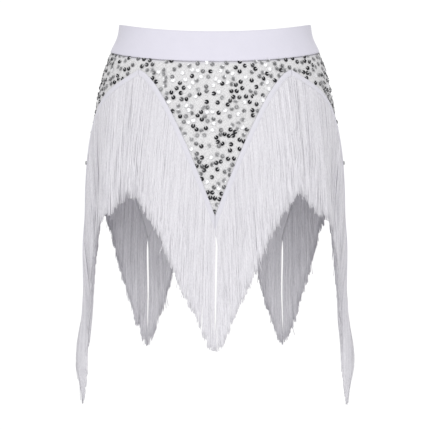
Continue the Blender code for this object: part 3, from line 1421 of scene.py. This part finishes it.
    def frames(
        self, spots: np.ndarray, lit: np.ndarray, loose: np.ndarray, draws: np.random.Generator
    ) -> tuple[np.ndarray, np.ndarray]:
        """Where each sequin sits and how it is turned.

        Args:
            spots: Rows of angle and height.
            lit: Which sequins catch the light.
            loose: Which sequins stand off the cloth on a slack stitch.
            draws: The seeded draws.

        Returns:
            The places, and for each sequin its along, up and outward directions in rows.
        """
        angle, height = spots[:, 0], spots[:, 1]
        at_side = np.clip(1.0 - np.abs(np.abs(angle) - self.side_angle) / self.side_width, 0.0, 1.0)
        tucked = rise(height + self.diameter / 2 - BAND_BOTTOM.height(angle), 0.0, self.tucked_depth)
        lift = self.lift * (1.0 - self.side_flatter * at_side)
        lift = lift + draws.uniform(0.0, self.lift_spread, len(angle)) + self.loose_lift * loose
        lift = lift + (self.tucked_lift - lift) * tucked
        step = 0.001
        here = FIGURE.point(angle, height, lift)
        along = unit(FIGURE.point(angle + step / FIGURE.arc(angle, height), height, lift) - here)
        out = unit(np.cross(along, FIGURE.point(angle, height + step, lift) - here))
        up = np.cross(out, along)
        lean = np.radians(draws.normal(0.0, self.lean, (len(angle), 2))) * (1.0 - tucked)[:, None]
        tipped = out + np.tan(lean[:, :1]) * along + np.tan(lean[:, 1:]) * up
        toward = unit(np.array(self.shine))
        shines = lit & (np.cos(np.radians(angle)) > self.facing_front) & (tucked == 0)
        tipped = np.where(shines[:, None], toward + self.shine_spread * (tipped - out), tipped)
        tipped = unit(np.where(loose[:, None], self.loose_turn * out + toward, tipped))
        side = unit(np.cross(up, tipped))
        return here, np.stack([side, np.cross(tipped, side), tipped], axis=1)

    def build(self, half: Half, name: str) -> tuple[bpy.types.Object, bpy.types.Object]:
        """Builds the sequins of one half and the stitches that hold them.

        Args:
            half: The front or the back.
            name: The cloth's node.

        Returns:
            The sequins and the stitches, each as one mesh.
        """
        draws = np.random.default_rng(self.seed + (half is Half.BACK))
        spots = self.scatter(half, draws)
        if half is Half.FRONT:
            spots = np.concatenate([spots, np.array(self.loose)])
        count = len(spots)
        loose = np.arange(count) >= count - len(self.loose) * (half is Half.FRONT)
        # The tones are painted reflection and glint, one for each sequin.
        tones = np.where(loose, self.loose_tone, self.tones(spots, draws))
        places, turns = self.frames(spots, tones >= 1.0, loose, draws)
        leftward = draws.uniform(0.0, 1.0, count) < self.stitched_left
        notch = np.where(leftward, self.left_stitch, self.right_stitch)
        notch = notch + draws.normal(0.0, self.stitch_spread, count)
        toward = np.stack([np.cos(np.radians(notch)), np.sin(np.radians(notch))], axis=-1)
        cup, cup_faces = self.cup()
        spin = draws.uniform(0.0, math.tau, count)
        cosine, sine = np.cos(spin)[:, None], np.sin(spin)[:, None]
        spun = np.stack([
            cup[None, :, 0] * cosine - cup[None, :, 1] * sine,
            cup[None, :, 0] * sine + cup[None, :, 1] * cosine,
            np.broadcast_to(cup[None, :, 2], (count, len(cup))),
        ], axis=-1)
        points = places[:, None] + spun @ turns
        faces = cup_faces[None] + np.arange(count)[:, None, None] * len(cup)
        # Painted light on each cup: lighter on the side toward its stitch, and on grey sequins a darker bowl
        # under a lighter rim.
        facing = (spun[..., :2] * toward[:, None]).sum(axis=-1) / (self.diameter / 2)
        slope = facing * self.painted_glint_slope * (self.slope_least + tones[:, None])
        bowl_shading = np.repeat((-1.0, -1.0, 1.0, 1.0, 1.0, 0.0), self.sides)
        greys = np.where(tones < 1.0, tones, 0.0)[:, None]
        tone = tones[:, None] + slope + bowl_shading * self.painted_bowl_shading * greys
        sketch = Sketch(points.reshape(-1, 3), faces.reshape(-1, 4), tone=np.clip(tone, 0.0, 1.0).ravel())
        foil = sketch.piece(f"{name}_sequins", SEQUIN_FOIL, smooth=False)
        stitches = self.stitches(places, turns, toward, tones).piece(f"{name}_sequin_stitches", THREAD)
        settle(foil)
        settle(stitches)
        return foil, stitches

    def stitches(
        self, places: np.ndarray, turns: np.ndarray, toward: np.ndarray, tones: np.ndarray
    ) -> Sketch:
        """The thread of each sequin, up through its hole and over its rim.

        Args:
            places: Where the sequins sit.
            turns: Their directions.
            toward: The direction of each stitch on its sequin.
            tones: The sequins' tones.

        Returns:
            The sketch of all stitches.
        """
        radius = self.diameter / 2
        path = [(-0.06, -0.0004, 0.00022), (0.06, 0.0004, 0.00028), (0.34, 0.00068, 0.00036)]
        path += [(0.68, 0.00095, 0.00050), (1.00, 0.00110, 0.00062), (1.18, -0.0004, 0.00050)]
        ring = [(-1.0, 0.0), (0.0, 0.6), (1.0, 0.0), (0.0, -0.4)]
        local = np.array([
            (reach * radius, side * half_width, height + up * half_width)
            for reach, height, half_width in path
            for side, up in ring
        ])
        beside = np.stack([-toward[:, 1], toward[:, 0]], axis=-1)
        flat = local[None, :, 0:1] * toward[:, None] + local[None, :, 1:2] * beside[:, None]
        heights = np.broadcast_to(local[None, :, 2:3], flat.shape[:2] + (1,))
        points = places[:, None] + np.concatenate([flat, heights], axis=-1) @ turns
        tube = capped_tube(len(path), len(ring))
        starts = range(0, len(places) * len(local), len(local))
        faces = [[start + corner for corner in face] for start in starts for face in tube]
        sketch = flatten(points.reshape(-1, 3), faces)
        sketch.place = np.tile(local[:, :2], (len(places), 1))
        # Painted highlight: the stitch stays white on black and light-catching sequins, where it stands also
        # for the cup's bright notch, and dulls on greyer ones.
        shade = np.clip(1.0 - tones * self.thread_shade, self.thread_darkest, 1.0)
        sketch.tone = np.repeat(np.where(tones >= 1.0, 1.0, shade), len(local))
        return sketch


@dataclass
class Fringe:
    """A length of fringe along one run of the hem: its heading tape and the strands that hang from it."""

    run: HemRun
    side: Side
    number: int
    seed: int = 300
    tape_columns: int = 120
    strands_per_metre: float = 2500.0
    segments: int = 12
    sides: int = 4
    side_step: float = 0.0008
    lower_finer: float = 1.35
    thinnest: float = 0.00040
    thickest: float = 0.00058
    taper: float = 0.15
    root_up_tape: float = 0.35
    root_spread: float = 0.00035
    least_sewn: float = 0.001
    least_emerged: float = 0.1
    locks: int = 26
    shorter: float = 0.006
    longest: float = 0.0030
    ragged: float = 0.0040
    strand_ragged: float = 0.0046
    lowest_ragged: float = 0.0035
    stacked: float = 0.012
    stacked_round: tuple[float, float, float, float] = (72.0, 82.0, 100.0, 108.0)
    clump_width: float = 0.0024
    gather: float = 0.32
    slit: float = 0.0018
    slit_lean: float = 0.0026
    slit_opens: float = 0.014
    slit_closes: float = 0.90
    opening_power: float = 0.6
    closing_power: float = 0.3
    lean_power: float = 1.5
    underside: float = 0.0003
    thickness: float = 0.0009
    bunched_least: float = 0.84
    bunched_most: float = 1.08
    bunched_spread: float = 0.06
    bunched_from: float = 0.6
    flare: float = 0.0085
    flare_round: tuple[float, float, float, float] = (74.0, 86.0, 106.0, 118.0)
    flare_height: float = -0.436
    flare_above: float = 0.050
    flare_below: float = 0.036
    flare_bunched: float = 45.0
    sway: float = 0.00038
    sway_power: float = 0.8
    sway_waves: tuple[float, float] = (0.8, 2.4)
    slant: float = 0.0005
    crinkle: float = 0.00020
    sway_out: float = 0.0004
    stray_share: float = 0.03
    stray: float = 0.0040
    stray_power: int = 7
    tone: float = 0.62
    streaks: int = 90
    streak_tone: float = 0.16
    painted_layer_shade: float = 0.12
    strand_tone: float = 0.15
    varied_round: tuple[float, float] = (64.0, 80.0)
    tone_drop: float = 0.06
    tone_reach: tuple[float, float] = (-0.05, 0.1)
    front_painted_light_lower: float = 1.1
    back_painted_shade_lower: float = -0.6
    painted_shade_round: tuple[tuple[float, float], ...] = (
        (0.0, 0.0),
        (52.0, 0.0),
        (60.0, -0.07),
        (67.0, -0.15),
        (74.0, -0.19),
        (88.0, -0.21),
        (94.0, -0.28),
        (98.0, -0.38),
        (106.0, -0.14),
        (120.0, -0.26),
        (146.0, -0.26),
        (149.0, -0.10),
        (180.0, -0.10),
    )

    @property
    def node(self) -> str:
        """The node that this length stands for."""
        return f"fringe_{self.run.name}_{self.side.name.lower()}"

    def tape(self) -> bpy.types.Object:
        """Builds the heading tape.

        Returns:
            The piece.
        """
        angle, along = self.run.spread(self.tape_columns)
        gap = SEAM_GAP / 2 / FIGURE.arc(angle, self.run.height(angle))
        angle[0] += gap[0]
        angle[-1] -= gap[-1]
        top = self.run.height(angle)[:, None]
        depth = self.run.tape_depth(angle)[:, None]
        face = [(0.0, 0.25), (0.04, 0.66), (0.11, 0.90), (0.17, 0.84), (0.23, 0.92), (0.37, 0.98)]
        face += [(0.50, 0.98), (0.63, 0.88), (0.77, 0.66), (0.88, 0.44), (0.96, 0.24), (1.0, 0.12)]
        profile = np.array(face + [(0.97, 0.0), (0.5, 0.0), (0.03, 0.0)])
        share, out = profile[None, :, 0], FRINGE_OUT + profile[None, :, 1] * FRINGE_WALL
        height = top - depth * share
        angles = np.broadcast_to(angle[:, None], height.shape)
        points = FIGURE.point(angles * self.side.value, height, np.broadcast_to(out, height.shape))
        faces = capped_tube(len(angle), len(profile))
        if self.side is Side.RIGHT:
            faces = [corners[::-1] for corners in faces]
        sketch = flatten(points.reshape(-1, 3), faces)
        sketch.place = pairs(along[:, None], share * TAPE_WIDTH)
        return sketch.piece(f"{self.node}_tape", TAPE)

    def strands(self) -> bpy.types.Object:
        """Builds the strands as one mesh.

        Returns:
            The piece.
        """
        run = self.run
        draws = np.random.default_rng(self.seed + self.number)
        count = int(run.spread(2)[1][-1] * self.strands_per_metre)
        angle = run.spread(count)[0]
        arc = FIGURE.arc(angle, run.height(angle))
        low, high = sorted((run.peak_angle, run.point_angle))
        angle = np.clip(angle + draws.normal(0.0, self.root_spread, count) / arc, low, high)
        foot = run.tape_foot(angle)
        sewn = run.tape_depth(angle) * self.root_up_tape
        root = foot + sewn
        clump = np.floor((angle - angle.min()) * arc / self.clump_width).astype(int)
        down = np.linspace(0.0, 1.0, self.segments + 1)[:, None] ** self.lower_finer
        height = root + (self.tips(angle, foot, clump, draws) - root) * down
        sideways, outward = self.wander(draws, count, down)
        layer = draws.uniform(0.0, 1.0, count)
        middle = (np.bincount(clump, angle) / np.maximum(np.bincount(clump), 1))[clump]
        place = angle + read_table(HANGS, "swing", angle) * down + (middle - angle) * self.gather * down**3
        place = self.parted(place + sideways / arc, rise(foot - height, 0.0, self.slit_opens), down, arc)
        emerged = np.clip((root - height) / np.maximum(sewn, self.least_sewn), self.least_emerged, 1.0)
        out = FRINGE_OUT + (self.underside + layer * self.thickness) * emerged + outward
        bunched = draws.uniform(self.bunched_least, self.bunched_most, clump.max() + 1)[clump]
        bunched = bunched + draws.uniform(-self.bunched_spread, self.bunched_spread, count)
        out = out - read_table(BUNCHES, "depth", angle) * bunched * rise(down, 0.0, self.bunched_from)
        out = out + self.flared(angle, height)
        centre = FIGURE.point(place, height, out, np.broadcast_to(root, height.shape), run.drape)
        centre[..., 0] *= self.side.value
        radius = draws.uniform(self.thinnest, self.thickest, count) * (1.0 - self.taper * down**8)
        return self.tubes(centre, radius, layer, angle, draws)

    def tips(
        self, angle: np.ndarray, foot: np.ndarray, clump: np.ndarray, draws: np.random.Generator
    ) -> np.ndarray:
        """Heights of the strands' ends, uneven by lock, by clump and by strand, and stacked at the side.

        Args:
            angle: The angles the strands are rooted at.
            foot: Heights of the tape's lower edge there.
            clump: The clump that each strand belongs to.
            draws: The seeded draws.

        Returns:
            The heights.
        """
        count = len(angle)
        low, high = sorted((self.run.peak_angle, self.run.point_angle))
        locks = draws.uniform(-self.shorter, 0.0, self.locks)
        lock = np.interp(angle, np.linspace(low, high, self.locks), locks)
        ragged = self.longest - np.abs(draws.normal(0.0, self.ragged, clump.max() + 1))[clump]
        ragged = ragged - np.abs(draws.normal(0.0, self.strand_ragged, count))
        at_side = plateau(angle, self.stacked_round)
        ragged = ragged - self.stacked * at_side * draws.random(count) ** 2
        tip = foot - STRAND_LENGTH - read_table(HANGS, "longer", angle) - lock - ragged
        return np.maximum(tip, self.run.lowest + np.abs(draws.normal(0.0, self.lowest_ragged, count)))

    def parted(self, place: np.ndarray, below: np.ndarray, down: np.ndarray, arc: np.ndarray) -> np.ndarray:
        """Keeps the strands clear of the slit at the hem's point, where two lengths of fringe meet.

        Args:
            place: Angles by ring and strand.
            below: How far each ring is below the tape, from 0 to 1.
            down: Shares of the way down, in a column.
            arc: The length of one degree at each strand.

        Returns:
            The angles.
        """
        run = self.run
        sign = 1.0 if run.point_angle < run.peak_angle else -1.0
        opening = below**self.opening_power
        closing = np.clip(1.0 - (down / self.slit_closes) ** 2, 0.0, 1.0) ** self.closing_power
        edge = self.slit / arc * opening * closing
        if run.name == "front":
            lean = self.side.value * self.slit_lean / arc * opening * (1.0 - down) ** self.lean_power
            edge = edge + sign * lean
        seam = run.point_angle + run.drift * down
        return seam + sign * np.maximum(sign * (place - seam), edge)

    def flared(self, angle: np.ndarray, height: np.ndarray) -> np.ndarray:
        """How far the long strands at the side swing outward low down, most for those that hang outermost.

        Args:
            angle: The angles the strands are rooted at.
            height: Heights down the strands.

        Returns:
            The moves outward.
        """
        at_side = plateau(angle, self.flare_round)
        outer = 1.0 - self.flare_bunched * read_table(BUNCHES, "depth", angle)
        above = height - self.flare_height
        width = np.where(above > 0, self.flare_above, self.flare_below)
        return self.flare * at_side * outer * bell(above, width)

    def wander(
        self, draws: np.random.Generator, count: int, down: np.ndarray
    ) -> tuple[np.ndarray, np.ndarray]:
        """How strands waver sideways and outward on their way down.

        Args:
            draws: The seeded draws.
            count: How many strands.
            down: Shares of the way down, in a column.

        Returns:
            The moves sideways and outward.
        """
        grow = down**self.sway_power
        phase = draws.uniform(0.0, math.tau, (4, count))
        waves = draws.uniform(*self.sway_waves, (2, count))
        sideways = np.sin(phase[0] + waves[0] * math.tau * down) * self.sway * grow
        sideways = sideways + draws.normal(0.0, self.slant, count) * down
        sideways = sideways + draws.normal(0.0, self.crinkle, (len(down), count)) * grow
        outward = np.sin(phase[1] + waves[1] * math.tau * down) * self.sway_out * grow
        stray = (draws.uniform(0.0, 1.0, count) < self.stray_share) * draws.normal(0.0, self.stray, count)
        return sideways + stray * down**self.stray_power, outward

    def tubes(
        self,
        centre: np.ndarray,
        radius: np.ndarray,
        layer: np.ndarray,
        angle: np.ndarray,
        draws: np.random.Generator,
    ) -> bpy.types.Object:
        """Turns the strands' middles into closed tubes in one mesh.

        Args:
            centre: Points by ring and strand.
            radius: Radii by ring and strand.
            layer: How far out each strand lies in the fringe, from 0 to 1.
            angle: The angle each strand is rooted at.
            draws: The seeded draws.

        Returns:
            The piece.
        """
        rings, count = centre.shape[:2]
        sides = self.sides
        outward = unit(centre * np.array([1.0, 1.0, 0.0]))
        beside = np.stack([-outward[..., 1], outward[..., 0], 0 * outward[..., 0]], axis=-1)
        start = draws.uniform(0.0, math.tau, count)
        turn = (start[None, :, None] + np.arange(sides) * math.tau / sides)[..., None]
        offset = np.cos(turn) * outward[:, :, None] + np.sin(turn) * beside[:, :, None]
        points = centre[:, :, None] + offset * radius[:, :, None, None]
        points = points.transpose(1, 0, 2, 3).reshape(-1, 3)
        each = rings * sides
        starts = np.arange(count)[:, None, None] * each
        faces = (ring_faces(rings, sides)[None] + starts).reshape(-1, 4)
        ends = np.array([np.arange(sides)[::-1], np.arange(each - sides, each)])
        caps = (ends[None] + starts).reshape(-1, sides)
        drop = np.linalg.norm(centre - centre[:1], axis=-1).T
        tone = np.repeat(self.tones(drop, layer, angle, draws).ravel(), sides)
        spot = pairs(drop[:, :, None], np.arange(sides) * self.side_step)
        sketch = Sketch(points, np.concatenate([faces, caps]), spot, tone)
        return sketch.piece(f"{self.node}_strands", RAYON)

    def tones(
        self, drop: np.ndarray, layer: np.ndarray, angle: np.ndarray, draws: np.random.Generator
    ) -> np.ndarray:
        """How bright the strands are, streak by streak and one by one, with painted shade on the inner
        strands and round the sides and back, and paler lower down as painted light, or at the back darker
        lower down as painted shade.

        Args:
            drop: How far below its root each ring of each strand is.
            layer: How far out each strand lies in the fringe, from 0 to 1.
            angle: The angle each strand is rooted at.
            draws: The seeded draws.

        Returns:
            The tones by strand and ring.
        """
        places = np.linspace(angle.min(), angle.max(), self.streaks)
        streak = np.interp(angle, places, draws.uniform(0.0, 1.0, self.streaks))
        # Strands further out are painted paler, which puts painted shade on the inner ones.
        tone = self.tone + self.streak_tone * streak + self.painted_layer_shade * layer
        strand = draws.uniform(-self.strand_tone, self.strand_tone, len(angle))
        tone = tone + strand * (1.0 + rise(angle, *self.varied_round))
        # Painted shade by angle: darker round the sides and over the back.
        tone = tone + np.interp(angle, *zip(*self.painted_shade_round))
        # Painted light lower down on most runs, painted shade lower down on the two runs at the back.
        lower = self.back_painted_shade_lower if self.run.drift else self.front_painted_light_lower
        return np.clip(tone[:, None] + lower * np.clip(drop - self.tone_drop, *self.tone_reach), 0.0, 1.0)

    def build(self) -> list[bpy.types.Object]:
        """Builds the tape and its strands, which together stand for the node."""
        pieces = [self.tape(), self.strands()]
        for piece in pieces:
            settle(piece, (self.node,))
        return pieces


@dataclass
class Studio:
    """White floor, soft light and the camera at the photograph's angle."""

    camera_distance: float = 2.0
    camera_height: float = -0.2378
    sensor: float = 36.0
    pixels_per_metre: float = 740.56
    floor_height: float = -1.2
    floor_radius: float = 4.5
    floor_corners: int = 96
    white: float = 1.06
    sky: float = 0.73
    lamp_width: float = 1.6
    lamp_height: float = 1.2
    lamp_tilt: float = 71.0
    front_energy: float = 20.0
    front_place: tuple[float, float, float] = (-0.10, -2.3, 0.55)
    front_turn: float = -2.5
    back_energy: float = 9.0
    back_place: tuple[float, float, float] = (0.30, 2.3, 0.55)
    back_turn: float = 172.5

    def floor(self) -> bpy.types.Object:
        """Lays the floor.

        Returns:
            The floor.
        """
        turn = np.arange(self.floor_corners) * math.tau / self.floor_corners
        points = np.stack([np.cos(turn), np.sin(turn), 0 * turn], axis=-1) * self.floor_radius
        floor = Sketch(points, np.arange(self.floor_corners)[None]).piece("studio_floor", FLOOR)
        floor.location.z = self.floor_height
        return floor

    def light(self) -> None:
        """Hangs a large soft lamp in front and a weaker one behind, under an even white sky."""
        dye = SkyDye("studio_sky")
        bpy.context.scene.world = dye.material
        seen = dye.wire(dye.node("ShaderNodeLightPath"), "Is Camera Ray")
        values = {"Value": seen, "To Min": self.sky, "To Max": self.white}
        strength = dye.wire(dye.node("ShaderNodeMapRange", values=values))
        dye.dress(Color=(1.0, 1.0, 1.0), Strength=strength)
        self.softbox("front_softbox", self.front_energy, self.front_place, self.front_turn)
        self.softbox("back_softbox", self.back_energy, self.back_place, self.back_turn)

    def softbox(self, name: str, energy: float, place: tuple[float, float, float], turn: float) -> None:
        """Hangs one large soft lamp that looks a little down at the skirt.

        Args:
            name: The lamp's name.
            energy: Its power.
            place: Where it hangs.
            turn: Which way it faces, in degrees, with 0 for a lamp in front.
        """
        lamp_data = bpy.data.lights.new(name, "AREA")
        lamp_data.shape = "RECTANGLE"
        lamp_data.size = self.lamp_width
        lamp_data.size_y = self.lamp_height
        lamp_data.energy = energy
        lamp = bpy.data.objects.new(name, lamp_data)
        lamp.location = place
        lamp.rotation_euler = (math.radians(self.lamp_tilt), 0.0, math.radians(turn))
        bpy.context.scene.collection.objects.link(lamp)

    def camera(self) -> None:
        """Stands the camera level in front of the skirt, at the photograph's angle."""
        camera_data = bpy.data.cameras.new("photo_camera")
        camera_data.sensor_width = self.sensor
        camera_data.lens = self.pixels_per_metre * self.camera_distance * self.sensor / PHOTO_PIXELS
        camera = bpy.data.objects.new("photo_camera", camera_data)
        camera.location = (0.0, -self.camera_distance, self.camera_height)
        camera.rotation_euler = (math.radians(90.0), 0.0, 0.0)
        bpy.context.scene.collection.objects.link(camera)
        bpy.context.scene.camera = camera

    def build(self) -> None:
        """Sets up the studio."""
        self.camera()
        self.light()
        self.floor()
        bpy.context.scene.view_settings.view_transform = "Standard"


JERSEY = JerseyFinish().material()
HIP_CLOTH = HipClothFinish().material()
SEQUIN_FOIL = SequinFinish().material()
THREAD = ThreadFinish().material()
TAPE = TapeFinish().material()
RAYON = RayonFinish().material()
FLOOR = FloorFinish().material()


def main() -> None:
    """Builds the skirt and its studio."""
    logging.basicConfig(level=logging.INFO, format="%(message)s")
    Studio().build()
    Waistband().build()
    panel = HipPanel()
    sequins = Sequins()
    for half, name in ((Half.FRONT, "hip_panel_front"), (Half.BACK, "hip_panel_back")):
        cloth = panel.half(half, name)
        sewn_on = list(sequins.build(half, name))
        for number, run in enumerate(RUNS):
            if run.half is half:
                for side in Side:
                    sewn_on += Fringe(run, side, 2 * number + (side is Side.RIGHT)).build()


if __name__ == "__main__":
    main()
